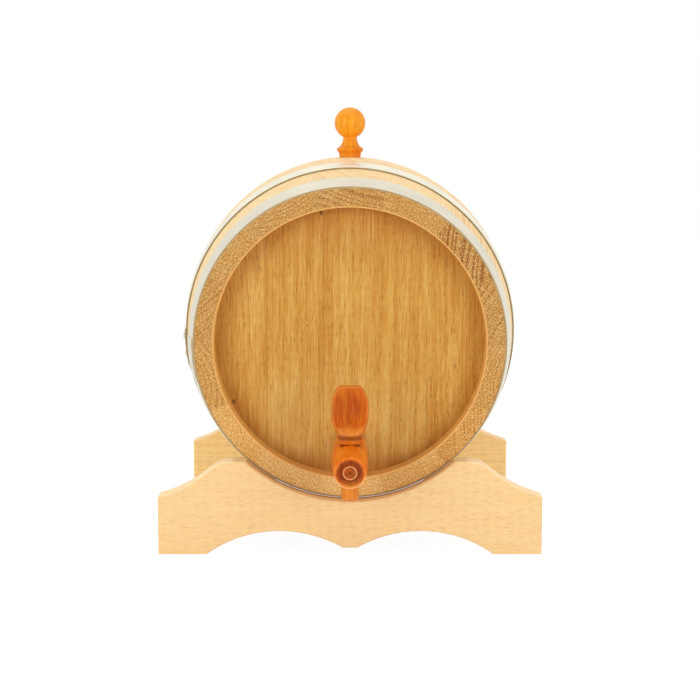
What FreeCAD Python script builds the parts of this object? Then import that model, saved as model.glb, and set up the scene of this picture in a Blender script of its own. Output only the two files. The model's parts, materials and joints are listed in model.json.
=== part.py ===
"""Oak cask dispenser: a five-litre coopered cask on a scalloped beech stand.

All lengths are in millimetres.  The object stands on z = 0 with its tap towards -y.

The cask is drawn in its own frame first: the axis runs along +y from the front
stave ends (y = 0) to the rear ones, and +z is the bung side.  The stand boards
are alike, so the thicker rear of the cask rides higher and the cask leans
towards its tap; that lean and the height of the axis follow from the seats.
"""
import FreeCAD, Part
import math
import os

Vector = FreeCAD.Vector

# ---------------------------------------------------------------- cask
CASK_LENGTH = 242.0
CHIME_RADIUS = 89.5             # outside of the staves at their ends
BILGE_RADIUS = 103.9            # outside of the staves at the middle
STAVE_COUNT = 14
STAVE_THICKNESS = 11.5
CHIME_WALL = 10.9               # stave ends, bored true inside for the head
CHIME_BEVEL = 0.8
CHIME_DEPTH = 12.0              # stave end to the outer face of the head
HOWEL_RUN = 14.0                # ramp from the true bore to the hollow of the stave

# ---------------------------------------------------------------- heads
HEAD_THICKNESS = 10.0
HEAD_RIM = 5.0                  # thickness left at the edge that sits in the croze
HEAD_BEVEL_RUN = 9.0
CROZE_DEPTH = 3.0
CROZE_CLEARANCE = 0.05
HEAD_JOINT_SHARES = (-0.62, -0.2, 0.57)     # where the head boards meet, in radii of the head
HEAD_DOWEL_RADIUS = 2.5
HEAD_DOWEL_LENGTH = 18.0
HEAD_DOWEL_OFFSET = 34.0        # above and below the cask's axis
GLUE_GAP = 0.05

# ---------------------------------------------------------------- hoops
HOOP_WIDTH = 20.0
HOOP_THICKNESS = 0.8
HOOP_SEAT_GAP = 0.05
CHIME_HOOP_START = 0.5          # from the stave ends
QUARTER_HOOP_START = 48.0
LAP_LENGTH = 22.0
LAP_BEARING = 185.0             # degrees from +x, seen from the front
JOGGLE_LENGTH = 5.0             # where the strip steps up over its own end
RIVET_SHANK_RADIUS = 1.2
RIVET_HEAD_RADIUS = 2.3
RIVET_HEAD_HEIGHT = 1.1
RIVET_SPACING = 11.0

# ---------------------------------------------------------------- bung
BUNG_SEAT_RADIUS = 6.9          # plug radius level with the top of the bung stave
BUNG_TIP_RADIUS = 5.8
BUNG_PLUG_LENGTH = 18.0
BUNG_TIP_CHAMFER = 0.8
BUNG_FOOT_HEIGHT = 2.5
BUNG_RIDGE_RADIUS = 8.65
BUNG_RIDGE_HEIGHT = 4.9
BUNG_RIDGE_WIDTH = 1.4
BUNG_RIDGE_CROWN = 0.3           # how far the ridge is rounded over its width
BUNG_WAIST_RADIUS = 6.3
BUNG_WAIST_HEIGHT = 7.2
BUNG_NECK_RADIUS = 4.4
BUNG_NECK_HEIGHT = 11.9
BUNG_BALL_RADIUS = 9.95
BUNG_BALL_HEIGHT = 21.8         # centre of the ball above the stave
BUNG_CLEARANCE = 0.10

# ---------------------------------------------------------------- tap
TAP_DROP = 60.5                 # tap axis below the cask's axis
TAP_REACH = 62.0                # front end ahead of the stave ends
TAP_INNER_LENGTH = 16.0         # tenon beyond the inside of the head
TAP_TENON_RADIUS = 6.3
TAP_NECK_RADIUS = 8.45          # at the face of the head
TAP_BELLY_RADIUS = 10.05
TAP_FRONT_RADIUS = 9.0
TAP_RIM_ROUND = 2.0
TAP_RIM_LAND = 0.4              # flat ring between the rounded rim and the cove
TAP_COVE_DEPTH = 2.0
TAP_BUTTON_RADIUS = 3.8
TAP_BUTTON_SETBACK = 0.4
TAP_DIMPLE_RADIUS = 0.9
TAP_BORE_RADIUS = 2.5
TAP_HOLE_CLEARANCE = 0.05

# ---------------------------------------------------------------- tap key
KEY_LEAD = 31.0                 # key axis ahead of the stave ends
KEY_SEAT_HEIGHT = 8.8           # flat seat for the collar, above the tap axis
KEY_SEAT_MARGIN = 0.5
KEY_TOP_RADIUS = 5.7            # plug, level with the seat
KEY_TIP_RADIUS = 5.05
KEY_TIP_DEPTH = 22.8            # lower end below the tap axis
KEY_TIP_ROUND = 1.8
KEY_CLEARANCE = 0.08
KEY_COLLAR_GAP = 0.2
KEY_COLLAR_RADIUS = 7.1
KEY_COLLAR_BELLY = 3.2          # widest part of the collar above its base
KEY_COLLAR_HEIGHT = 4.3
KEY_GROOVE_RADIUS = 6.2
KEY_GROOVE_WIDTH = 0.8
KEY_HANDLE_FOOT_RADIUS = 6.9
KEY_HANDLE_RADIUS = 10.4
KEY_HANDLE_HEIGHT = 27.8
KEY_HANDLE_WAIST = (9.0, 4.3)   # radius, height above the handle's base
KEY_HANDLE_BELLY = (11.0, 16.5) # from here to here the handle is full width
KEY_HANDLE_SHOULDER = (9.5, 22.6)
KEY_HANDLE_TOP_RADIUS = 6.4
KEY_HANDLE_THICKNESS = 7.0      # across the two cheeks
KEY_CHEEK_RUN = 14.0            # the cheeks are flat above this and sweep outward below
KEY_CHEEK_SWEEP = 20.0          # radius of that sweep
KEY_BORE_RADIUS = 2.5
KEY_PORT_RADIUS = 2.2           # the side port that meets the tap's bore when open

# ---------------------------------------------------------------- stand
STAND_WIDTH = 222.8
BOARD_THICKNESS = 15.0
BOARD_END_HEIGHT = 33.7
BOARD_LEAD = 4.0                # front board's face ahead of the stave ends
REAR_BOARD_INSET = 55.0         # rear board's face, under the rear quarter hoop, from the stave ends
CRADLE_FLOOR = 30.2             # lowest point of either cradle
CRADLE_CLEARANCE = 0.3
HORN_SPREAD = 138.0             # between the crests beside the cradle
HORN_HEIGHT = 54.4
HORN_ROUND = 18.0
SHOULDER_ROUND = 80.0           # hollow curve from the crest to the board's end
FOOT_LENGTH = 28.3
ARCH_HEIGHT = 13.5
ARCH_CREST = 42.1               # crest of each arch from the middle
TONGUE_WIDTH = 8.8
TONGUE_HEIGHT = 3.7
BOARD_EASE = 0.9                # rounding of the board's long edges
RAIL_WIDTH = 20.0
RAIL_HEIGHT = 14.0
RAIL_SPREAD = 120.0             # between the rails' middles
RAIL_BASE = 15.5                # underside above the floor
RAIL_EASE = 1.0
STAND_DOWEL_RADIUS = 3.0
STAND_DOWEL_LENGTH = 26.0
STAND_DOWEL_DEPTH = 10.0        # into the board
STAND_DOWEL_SPREAD = 10.0

# ---------------------------------------------------------------- derived
HALF_LENGTH = CASK_LENGTH / 2
BULGE = BILGE_RADIUS - CHIME_RADIUS
STAVE_ARC = (HALF_LENGTH ** 2 + BULGE ** 2) / (2 * BULGE)
STAVE_ANGLE = 360.0 / STAVE_COUNT
HOOP_SAG = HOOP_WIDTH ** 2 / (8 * STAVE_ARC)
HOOP_LIFT = HOOP_SAG + HOOP_SEAT_GAP
SKIN = HOOP_LIFT + HOOP_THICKNESS + CRADLE_CLEARANCE
CHIME_BORE_RADIUS = CHIME_RADIUS - CHIME_WALL
CROZE_RADIUS = CHIME_BORE_RADIUS + CROZE_DEPTH
HEAD_JOINTS = tuple(share * CHIME_BORE_RADIUS for share in HEAD_JOINT_SHARES)
CROZE_FLARE = CROZE_DEPTH * (HEAD_THICKNESS - HEAD_RIM) / HEAD_BEVEL_RUN
BUNG_TOP_SLOPE = (BUNG_SEAT_RADIUS - BUNG_TIP_RADIUS) / BUNG_PLUG_LENGTH
KEY_HANDLE_BASE = KEY_SEAT_HEIGHT + KEY_COLLAR_GAP + KEY_COLLAR_HEIGHT + KEY_GROOVE_WIDTH
KEY_SLOPE = (KEY_TOP_RADIUS - KEY_TIP_RADIUS) / (KEY_SEAT_HEIGHT + KEY_TIP_DEPTH - KEY_TIP_ROUND)


def stave_radius(station, outward=0.0):
    """Radius of the staves' outside at a station along the axis, grown outward."""
    return (BILGE_RADIUS - STAVE_ARC
            + math.sqrt((STAVE_ARC + outward) ** 2 - (station - HALF_LENGTH) ** 2))


# The seats: the cask rides on the rear edge of the front cradle and on the front
# edge of the rear one.  Both lie at the same height on the skin's arc, so the
# arc's centre stands midway between them, and the rails span from one to the other.
FRONT_SEAT = BOARD_THICKNESS - BOARD_LEAD
REAR_SEAT = CASK_LENGTH - REAR_BOARD_INSET
ARC_OFFSET = STAVE_ARC - BILGE_RADIUS   # arc's centre from the cask's axis
LEAN = (math.acos((FRONT_SEAT + REAR_SEAT) / 2 / math.hypot(HALF_LENGTH, ARC_OFFSET))
        - math.atan2(ARC_OFFSET, HALF_LENGTH))
ARC_HEIGHT = CRADLE_FLOOR + math.sqrt((STAVE_ARC + SKIN) ** 2 - ((REAR_SEAT - FRONT_SEAT) / 2) ** 2)
AXIS_HEIGHT = ARC_HEIGHT - HALF_LENGTH * math.sin(LEAN) - ARC_OFFSET * math.cos(LEAN)
TAP_CENTRE = Vector(0, 0, -TAP_DROP)
KEY_CENTRE = Vector(0, -KEY_LEAD, -TAP_DROP)
AXIS = Vector(0, 1, 0)
UP = Vector(0, 0, 1)


# ---------------------------------------------------------------- drawing helpers
def line(start, end):
    return Part.LineSegment(start, end).toShape()


def arc(start, middle, end):
    return Part.Arc(start, middle, end).toShape()


def face(edges):
    return Part.Face(Part.Wire(edges))


def turned(edges, base, axis):
    """Solid turned from an outline that starts and ends on the axis."""
    start = edges[0].Vertexes[0].Point
    end = edges[-1].Vertexes[-1].Point
    return face(edges + [line(end, start)]).revolve(base, axis, 360)


def polyline(points):
    return [line(a, b) for a, b in zip(points, points[1:])]


def in_section(station, radius):
    """A point of the cask's upper half section."""
    return Vector(0, station, radius)


# ---------------------------------------------------------------- staves
def stave_section():
    """Half section of a stave: bevelled chimes, flared crozes, howels and the bowed hollow."""
    bore = CHIME_BORE_RADIUS
    croze_start = CHIME_DEPTH - CROZE_CLEARANCE
    croze_end = CHIME_DEPTH + HEAD_RIM + CROZE_CLEARANCE
    howel_start = CHIME_DEPTH + HEAD_THICKNESS
    howel_end = howel_start + HOWEL_RUN
    hollow = stave_radius(howel_end, -STAVE_THICKNESS)
    front = [
        (0, CHIME_RADIUS),
        (0, bore + CHIME_BEVEL),
        (CHIME_BEVEL, bore),
        (croze_start, bore),
        (croze_start, CROZE_RADIUS),
        (croze_end, CROZE_RADIUS),
        (croze_end + CROZE_FLARE, bore),
        (howel_start, bore),
        (howel_end, hollow),
    ]
    rear = [(CASK_LENGTH - station, radius) for station, radius in reversed(front)]
    edges = polyline([in_section(*point) for point in front])
    edges.append(arc(in_section(howel_end, hollow),
                     in_section(HALF_LENGTH, BILGE_RADIUS - STAVE_THICKNESS),
                     in_section(CASK_LENGTH - howel_end, hollow)))
    edges += polyline([in_section(*point) for point in rear])
    edges.append(arc(in_section(CASK_LENGTH, CHIME_RADIUS),
                     in_section(HALF_LENGTH, BILGE_RADIUS),
                     in_section(0, CHIME_RADIUS)))
    return face(edges)


def stave():
    """The stave that is centred on the top of the cask."""
    section = stave_section()
    section.rotate(Vector(), AXIS, -STAVE_ANGLE / 2)
    return section.revolve(Vector(), AXIS, STAVE_ANGLE)


def bung_hole():
    """Tapered hole through the middle of the top stave."""
    below = STAVE_THICKNESS + 2
    above = 2
    wide = BUNG_SEAT_RADIUS + BUNG_CLEARANCE
    return Part.makeCone(wide - below * BUNG_TOP_SLOPE, wide + above * BUNG_TOP_SLOPE,
                         below + above, Vector(0, HALF_LENGTH, BILGE_RADIUS - below), UP)


def staves():
    plain = stave()
    nodes = {"bung_stave": plain.cut(bung_hole())}
    for number in range(2, STAVE_COUNT + 1):
        turned_stave = plain.copy()
        turned_stave.rotate(Vector(), AXIS, (number - 1) * STAVE_ANGLE)
        nodes[f"stave_{number:02d}"] = turned_stave
    return nodes


# ---------------------------------------------------------------- heads
def head_disc():
    """Front head in one piece: flat outside, bevelled inside down to its rim."""
    rim = CROZE_RADIUS - CROZE_CLEARANCE
    outside = CHIME_DEPTH
    inside = CHIME_DEPTH + HEAD_THICKNESS
    points = [(outside, 0), (outside, rim), (outside + HEAD_RIM, rim),
              (inside, rim - HEAD_BEVEL_RUN), (inside, 0)]
    return turned(polyline([in_section(*point) for point in points]), Vector(), AXIS)


def head_dowel_line(joint, side, radius, length):
    """A dowel, or its hole, across one joint of the head."""
    start = Vector(joint - length / 2, CHIME_DEPTH + HEAD_THICKNESS / 2, side * HEAD_DOWEL_OFFSET)
    return Part.makeCylinder(radius, length, start, Vector(1, 0, 0))


def head_dowels(grow=0.0):
    return [head_dowel_line(joint, side, HEAD_DOWEL_RADIUS + grow, HEAD_DOWEL_LENGTH + 2 * grow)
            for joint in HEAD_JOINTS for side in (-1, 1)]


def tap_taper(grow):
    """The tap's tenon as a cone through the head, for the tenon and for its hole."""
    tip = -(CHIME_DEPTH + HEAD_THICKNESS + TAP_INNER_LENGTH)
    slope = (TAP_NECK_RADIUS - TAP_TENON_RADIUS) / (HEAD_THICKNESS + TAP_INNER_LENGTH)
    margin = 2
    length = -CHIME_DEPTH - tip + margin
    return Part.makeCone(TAP_TENON_RADIUS + grow, TAP_TENON_RADIUS + grow + slope * length, length,
                         Vector(0, -tip, -TAP_DROP), -AXIS)


def head_boards(prefix, with_tap_hole):
    disc = head_disc().cut(Part.makeCompound(head_dowels(GLUE_GAP)))
    if with_tap_hole:
        disc = disc.cut(tap_taper(TAP_HOLE_CLEARANCE))
    reach = CROZE_RADIUS + 1
    limits = (-reach,) + HEAD_JOINTS + (reach,)
    nodes = {}
    for number, (left, right) in enumerate(zip(limits, limits[1:]), 1):
        strip = Part.makeBox(right - left, CASK_LENGTH, 2 * reach, Vector(left, 0, -reach))
        nodes[f"{prefix}_{number}"] = disc.common(strip)
    return nodes


def turned_to_rear(shape):
    """The same piece at the other end of the cask, outside face outwards."""
    copy = shape.copy()
    copy.rotate(Vector(0, HALF_LENGTH, 0), UP, 180)
    return copy


def heads():
    nodes = head_boards("front_head_board", True)
    nodes["front_head_dowels"] = Part.makeCompound(head_dowels())
    rear = head_boards("rear_head_board", False)
    rear["rear_head_dowels"] = Part.makeCompound(head_dowels())
    nodes.update({name: turned_to_rear(shape) for name, shape in rear.items()})
    return nodes


# ---------------------------------------------------------------- hoops
def strip_section(start, rise_inner, rise_outer):
    """Wire round a strip's section between two heights above its inner face."""
    end = start + HOOP_WIDTH
    low_start = stave_radius(start) + HOOP_LIFT
    low_end = stave_radius(end) + HOOP_LIFT
    corners = [in_section(start, low_start + rise_inner), in_section(end, low_end + rise_inner),
               in_section(end, low_end + rise_outer), in_section(start, low_start + rise_outer)]
    return Part.makePolygon(corners + corners[:1])


def at_bearing(shape, degrees):
    """Turns a piece drawn at the top of the cask to a bearing from +x."""
    copy = shape.copy()
    copy.rotate(Vector(), AXIS, 90 - degrees)
    return copy


def hoop_radius(start):
    """Outer radius of a hoop at the middle of its width."""
    return (stave_radius(start) + stave_radius(start + HOOP_WIDTH)) / 2 + HOOP_LIFT + HOOP_THICKNESS


def rivet_bearings(start):
    spread = math.degrees(RIVET_SPACING / 2 / hoop_radius(start))
    return (LAP_BEARING - spread, LAP_BEARING + spread)


def hoop_slope(start):
    """Angle of the strip to the cask's axis."""
    return math.atan((stave_radius(start + HOOP_WIDTH) - stave_radius(start)) / HOOP_WIDTH)


def on_lap(shape, start, bearing):
    """Seats a piece drawn on the z axis, z = 0 at the lap's outer face, on a hoop's lap."""
    copy = shape.copy()
    copy.rotate(Vector(), Vector(1, 0, 0), math.degrees(hoop_slope(start)))
    copy.translate(in_section(start + HOOP_WIDTH / 2, hoop_radius(start) + HOOP_THICKNESS))
    return at_bearing(copy, bearing)


def hoop(start):
    """A flat strip bent to a cone, its end lapped over its beginning."""
    band = Part.Face(strip_section(start, 0, HOOP_THICKNESS)).revolve(Vector(), AXIS, 360)
    per_degree = math.radians(hoop_radius(start))
    lap_angle = LAP_LENGTH / per_degree
    joggle_angle = JOGGLE_LENGTH / per_degree
    lap_section = Part.Face(strip_section(start, HOOP_THICKNESS / 2, 2 * HOOP_THICKNESS))
    lap = lap_section.revolve(Vector(), AXIS, lap_angle)
    high = strip_section(start, HOOP_THICKNESS / 2, 2 * HOOP_THICKNESS)
    low = strip_section(start, HOOP_THICKNESS / 2, HOOP_THICKNESS)
    low.rotate(Vector(), AXIS, -joggle_angle)
    joggle = Part.makeLoft([high, low], True, True)
    joined = band.fuse([at_bearing(piece, LAP_BEARING + lap_angle / 2) for piece in (lap, joggle)])
    holes = [on_lap(rivet_shank(GLUE_GAP), start, bearing) for bearing in rivet_bearings(start)]
    return joined.cut(Part.makeCompound(holes)).removeSplitter()


def rivet_shank(grow=0.0):
    depth = 2 * HOOP_THICKNESS
    return Part.makeCylinder(RIVET_SHANK_RADIUS + grow, depth + 2 * grow, Vector(0, 0, -depth - grow))


def rivet():
    """Domed head on the lap's outer face, shank through both layers."""
    sphere = (RIVET_HEAD_RADIUS ** 2 + RIVET_HEAD_HEIGHT ** 2) / (2 * RIVET_HEAD_HEIGHT)
    centre = Vector(0, 0, RIVET_HEAD_HEIGHT - sphere)
    edge = Vector(RIVET_HEAD_RADIUS, 0, 0)
    crown = Vector(0, 0, RIVET_HEAD_HEIGHT)
    dome = turned([line(Vector(), edge), arc(edge, on_circle(centre, sphere, (edge + crown) / 2), crown)],
                  Vector(), UP)
    return dome.fuse(rivet_shank()).removeSplitter()


def hoops():
    chime = hoop(CHIME_HOOP_START)
    quarter = hoop(QUARTER_HOOP_START)
    shape = rivet()
    rivets = [on_lap(shape, start, bearing)
              for start in (CHIME_HOOP_START, QUARTER_HOOP_START)
              for bearing in rivet_bearings(start)]
    rear = [mirrored_to_rear(piece) for piece in [chime, quarter] + rivets]
    return {
        "front_chime_hoop": chime,
        "front_quarter_hoop": quarter,
        "rear_quarter_hoop": rear[1],
        "rear_chime_hoop": rear[0],
        "hoop_rivets": Part.makeCompound(rivets + rear[2:]),
    }


def mirrored_to_rear(shape):
    """The same piece at the other end of the cask, on the same bearing."""
    return shape.mirror(Vector(0, HALF_LENGTH, 0), AXIS)


# ---------------------------------------------------------------- bung
def bung_point(radius, height):
    return Vector(radius, HALF_LENGTH, BILGE_RADIUS + height)


def bung():
    """Turned plug, ridge, neck and ball."""
    foot_radius = BUNG_SEAT_RADIUS + BUNG_TOP_SLOPE * BUNG_FOOT_HEIGHT
    neck_drop = math.sqrt(BUNG_BALL_RADIUS ** 2 - BUNG_NECK_RADIUS ** 2)
    ball_start = bung_point(BUNG_NECK_RADIUS, BUNG_BALL_HEIGHT - neck_drop)
    waist = bung_point(BUNG_WAIST_RADIUS, BUNG_WAIST_HEIGHT)
    neck = bung_point(BUNG_NECK_RADIUS, BUNG_NECK_HEIGHT)
    cove = bung_point(BUNG_NECK_RADIUS + (BUNG_WAIST_RADIUS - BUNG_NECK_RADIUS) / 3,
                      (BUNG_WAIST_HEIGHT + BUNG_NECK_HEIGHT) / 2)
    ridge_edge = BUNG_RIDGE_RADIUS - BUNG_RIDGE_CROWN
    ridge_low = bung_point(ridge_edge, BUNG_RIDGE_HEIGHT - BUNG_RIDGE_WIDTH / 2)
    ridge_high = bung_point(ridge_edge, BUNG_RIDGE_HEIGHT + BUNG_RIDGE_WIDTH / 2)
    plug = polyline([
        bung_point(0, -BUNG_PLUG_LENGTH),
        bung_point(BUNG_TIP_RADIUS - BUNG_TIP_CHAMFER, -BUNG_PLUG_LENGTH),
        bung_point(BUNG_TIP_RADIUS + BUNG_TOP_SLOPE * BUNG_TIP_CHAMFER,
                   BUNG_TIP_CHAMFER - BUNG_PLUG_LENGTH),
        bung_point(foot_radius, BUNG_FOOT_HEIGHT),
        ridge_low,
    ])
    ridge = arc(ridge_low, bung_point(BUNG_RIDGE_RADIUS, BUNG_RIDGE_HEIGHT), ridge_high)
    ball = arc(ball_start, bung_point(BUNG_BALL_RADIUS, BUNG_BALL_HEIGHT),
               bung_point(0, BUNG_BALL_HEIGHT + BUNG_BALL_RADIUS))
    outline = plug + [ridge, line(ridge_high, waist), arc(waist, cove, neck),
                      line(neck, ball_start), ball]
    return turned(outline, bung_point(0, 0), UP)


# ---------------------------------------------------------------- tap
def tap_point(radius, lead):
    """A point of the tap's section; lead is counted ahead of the stave ends."""
    return Vector(radius, -lead, -TAP_DROP)


def plug_radius(height):
    """Radius of the key's plug at a height above the tap's axis."""
    return KEY_TOP_RADIUS + KEY_SLOPE * (height - KEY_SEAT_HEIGHT)


def tap_front():
    """Turned front end: rounded rim, cove and button with the lathe's centre mark."""
    rim = TAP_FRONT_RADIUS - TAP_RIM_ROUND
    cove = rim - TAP_RIM_LAND
    round_middle = TAP_RIM_ROUND * (1 - math.sqrt(0.5))
    cove_middle = (cove + TAP_BUTTON_RADIUS) / 2
    button_lead = TAP_REACH - TAP_BUTTON_SETBACK
    return [
        arc(tap_point(TAP_FRONT_RADIUS, TAP_REACH - TAP_RIM_ROUND),
            tap_point(TAP_FRONT_RADIUS - round_middle, TAP_REACH - round_middle),
            tap_point(rim, TAP_REACH)),
        line(tap_point(rim, TAP_REACH), tap_point(cove, TAP_REACH)),
        arc(tap_point(cove, TAP_REACH),
            tap_point(cove_middle, TAP_REACH - TAP_COVE_DEPTH),
            tap_point(TAP_BUTTON_RADIUS, button_lead)),
        line(tap_point(TAP_BUTTON_RADIUS, button_lead), tap_point(TAP_DIMPLE_RADIUS, button_lead)),
        line(tap_point(TAP_DIMPLE_RADIUS, button_lead),
             tap_point(0, button_lead - TAP_DIMPLE_RADIUS)),
    ]


def tap_body():
    tip = -(CHIME_DEPTH + HEAD_THICKNESS + TAP_INNER_LENGTH)
    neck = tap_point(TAP_NECK_RADIUS, -CHIME_DEPTH)
    shoulder = tap_point(TAP_FRONT_RADIUS, TAP_REACH - TAP_RIM_ROUND)
    outline = [
        line(tap_point(0, tip), tap_point(TAP_TENON_RADIUS, tip)),
        line(tap_point(TAP_TENON_RADIUS, tip), neck),
        arc(neck, tap_point(TAP_BELLY_RADIUS, KEY_LEAD), shoulder),
    ] + tap_front()
    blank = turned(outline, TAP_CENTRE, AXIS)
    bore = Part.makeCylinder(TAP_BORE_RADIUS, KEY_LEAD - tip, tap_point(0, KEY_LEAD), AXIS)
    reach = TAP_BELLY_RADIUS + 2
    hole = Part.makeCone(plug_radius(-reach) + KEY_CLEARANCE, plug_radius(reach) + KEY_CLEARANCE,
                         2 * reach, KEY_CENTRE - UP * reach, UP)
    seat = Part.makeCylinder(KEY_COLLAR_RADIUS + KEY_SEAT_MARGIN, reach,
                             KEY_CENTRE + UP * KEY_SEAT_HEIGHT, UP)
    return blank.cut(Part.makeCompound([bore, hole]).fuse(seat))


def key_point(radius, height):
    return KEY_CENTRE + Vector(radius, 0, height)


def key_outline():
    """Rounded tip, tapered plug, collar bead, groove and the bellied handle."""
    round_start = KEY_TIP_RADIUS - KEY_TIP_ROUND
    round_middle = KEY_TIP_ROUND * (1 - math.sqrt(0.5))
    collar_base = KEY_SEAT_HEIGHT + KEY_COLLAR_GAP
    collar_top = collar_base + KEY_COLLAR_HEIGHT
    handle_top = KEY_HANDLE_BASE + KEY_HANDLE_HEIGHT
    belly_low, belly_high = (KEY_HANDLE_BASE + height for height in KEY_HANDLE_BELLY)
    waist_radius, waist = KEY_HANDLE_WAIST
    shoulder_radius, shoulder = KEY_HANDLE_SHOULDER
    tip = key_point(KEY_TIP_RADIUS, KEY_TIP_ROUND - KEY_TIP_DEPTH)
    return [
        line(key_point(0, -KEY_TIP_DEPTH), key_point(round_start, -KEY_TIP_DEPTH)),
        arc(key_point(round_start, -KEY_TIP_DEPTH),
            key_point(KEY_TIP_RADIUS - round_middle, round_middle - KEY_TIP_DEPTH), tip),
        line(tip, key_point(plug_radius(collar_base), collar_base)),
        arc(key_point(plug_radius(collar_base), collar_base),
            key_point(KEY_COLLAR_RADIUS, collar_base + KEY_COLLAR_BELLY),
            key_point(KEY_GROOVE_RADIUS, collar_top)),
        line(key_point(KEY_GROOVE_RADIUS, collar_top),
             key_point(KEY_GROOVE_RADIUS, KEY_HANDLE_BASE)),
        line(key_point(KEY_GROOVE_RADIUS, KEY_HANDLE_BASE),
             key_point(KEY_HANDLE_FOOT_RADIUS, KEY_HANDLE_BASE)),
        arc(key_point(KEY_HANDLE_FOOT_RADIUS, KEY_HANDLE_BASE),
            key_point(waist_radius, KEY_HANDLE_BASE + waist),
            key_point(KEY_HANDLE_RADIUS, belly_low)),
        line(key_point(KEY_HANDLE_RADIUS, belly_low), key_point(KEY_HANDLE_RADIUS, belly_high)),
        arc(key_point(KEY_HANDLE_RADIUS, belly_high),
            key_point(shoulder_radius, KEY_HANDLE_BASE + shoulder),
            key_point(KEY_HANDLE_TOP_RADIUS, handle_top)),
        line(key_point(KEY_HANDLE_TOP_RADIUS, handle_top), key_point(0, handle_top)),
    ]


def key_cheek():
    """What is cut from the handle's front: flat above, swept outward towards its foot."""
    reach = KEY_HANDLE_RADIUS + KEY_CHEEK_SWEEP
    flat = -KEY_HANDLE_THICKNESS / 2
    sweep_centre = KEY_CENTRE + Vector(-reach, flat - KEY_CHEEK_SWEEP, KEY_HANDLE_BASE + KEY_CHEEK_RUN)
    inward = math.sqrt(KEY_CHEEK_SWEEP ** 2 - KEY_CHEEK_RUN ** 2)
    start = sweep_centre + Vector(0, KEY_CHEEK_SWEEP, 0)
    end = sweep_centre + Vector(0, inward, -KEY_CHEEK_RUN)
    outer_low = Vector(end.x, sweep_centre.y, end.z)
    outer_high = outer_low + UP * (KEY_HANDLE_HEIGHT + reach)
    top = Vector(start.x, start.y, outer_high.z)
    edges = [line(top, start), arc(start, on_circle(sweep_centre, KEY_CHEEK_SWEEP, (start + end) / 2), end),
             line(end, outer_low), line(outer_low, outer_high), line(outer_high, top)]
    return face(edges).extrude(Vector(2 * reach, 0, 0))


def tap_key():
    """Closed: the cheeks of the handle face forward and back and the side port faces +x."""
    blank = turned(key_outline(), KEY_CENTRE, UP)
    reach = KEY_HANDLE_RADIUS + 1
    front = key_cheek()
    cheeks = [front, front.mirror(KEY_CENTRE, AXIS)]
    spout = Part.makeCylinder(KEY_BORE_RADIUS, KEY_TIP_DEPTH + KEY_BORE_RADIUS,
                              KEY_CENTRE - UP * KEY_TIP_DEPTH, UP)
    port = Part.makeCylinder(KEY_PORT_RADIUS, reach, KEY_CENTRE, Vector(1, 0, 0))
    return blank.cut(cheeks).cut(spout.fuse(port))


# ---------------------------------------------------------------- stand
def circle_through(centre_a, radius_a, centre_b, radius_b):
    """Upper point that lies at the two radii from the two centres."""
    gap = centre_b - centre_a
    along = (radius_a ** 2 - radius_b ** 2 + gap.Length ** 2) / (2 * gap.Length)
    across = math.sqrt(radius_a ** 2 - along ** 2)
    unit = gap / gap.Length
    side = Vector(-unit.z, 0, unit.x)
    side = side if side.z > 0 else -side
    return centre_a + unit * along + side * across


def on_circle(centre, radius, towards):
    direction = towards - centre
    return centre + direction / direction.Length * radius


def board_outline_half():
    """Right half of a board's outline, from the middle of its top to its underside."""
    crest = Vector(HORN_SPREAD / 2, 0, HORN_HEIGHT)
    horn_centre = crest - UP * HORN_ROUND
    end_top = Vector(STAND_WIDTH / 2, 0, BOARD_END_HEIGHT)
    hollow_centre = circle_through(horn_centre, HORN_ROUND + SHOULDER_ROUND, end_top, SHOULDER_ROUND)
    turn = on_circle(horn_centre, HORN_ROUND, hollow_centre)
    shoulder_middle = on_circle(hollow_centre, SHOULDER_ROUND, (turn + end_top) / 2)
    horn_middle = on_circle(horn_centre, HORN_ROUND, (turn + crest) / 2 + UP)
    foot_inner = Vector(STAND_WIDTH / 2 - FOOT_LENGTH, 0, 0)
    tongue = Vector(TONGUE_WIDTH / 2, 0, TONGUE_HEIGHT)
    return [
        line(Vector(0, 0, HORN_HEIGHT), crest),
        arc(crest, horn_middle, turn),
        arc(turn, shoulder_middle, end_top),
        line(end_top, Vector(STAND_WIDTH / 2, 0, 0)),
        line(Vector(STAND_WIDTH / 2, 0, 0), foot_inner),
        arc(foot_inner, Vector(ARCH_CREST, 0, ARCH_HEIGHT), tongue),
        line(tongue, Vector(0, 0, TONGUE_HEIGHT)),
    ]


def cradle_cutter():
    """The cask with its hoops, grown by the cradle's clearance, where it will lie."""
    end_radius = stave_radius(0, SKIN)
    lead = BOARD_LEAD + BOARD_THICKNESS
    edges = polyline([in_section(-lead, 0), in_section(-lead, end_radius), in_section(0, end_radius)])
    edges.append(arc(in_section(0, end_radius), in_section(HALF_LENGTH, BILGE_RADIUS + SKIN),
                     in_section(CASK_LENGTH, end_radius)))
    edges += polyline([in_section(CASK_LENGTH, end_radius),
                       in_section(CASK_LENGTH + lead, end_radius),
                       in_section(CASK_LENGTH + lead, 0)])
    return laid_down(turned(edges, Vector(), AXIS))


def in_cradle(box):
    """Whether an edge, known by its box, runs down the cradle between the two crests."""
    between = box.XMin > -HORN_SPREAD / 2 and box.XMax < HORN_SPREAD / 2
    return between and box.ZLength > 0.01 and box.ZMin > (ARCH_HEIGHT + CRADLE_FLOOR) / 2


def eased_edges(board, front_y, seat_y):
    """The edges of a board's two faces that are rounded over: not the feet and not the seat."""
    chosen = []
    for edge in board.Edges:
        box = edge.BoundBox
        on_face = box.YLength < 0.01 and any(abs(box.YMin - y) < 0.01
                                             for y in (front_y, front_y + BOARD_THICKNESS))
        seat = abs(box.YMin - seat_y) < 0.01 and in_cradle(box)
        if on_face and box.ZMax > 0.01 and not seat:
            chosen.append(edge)
    return chosen


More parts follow.
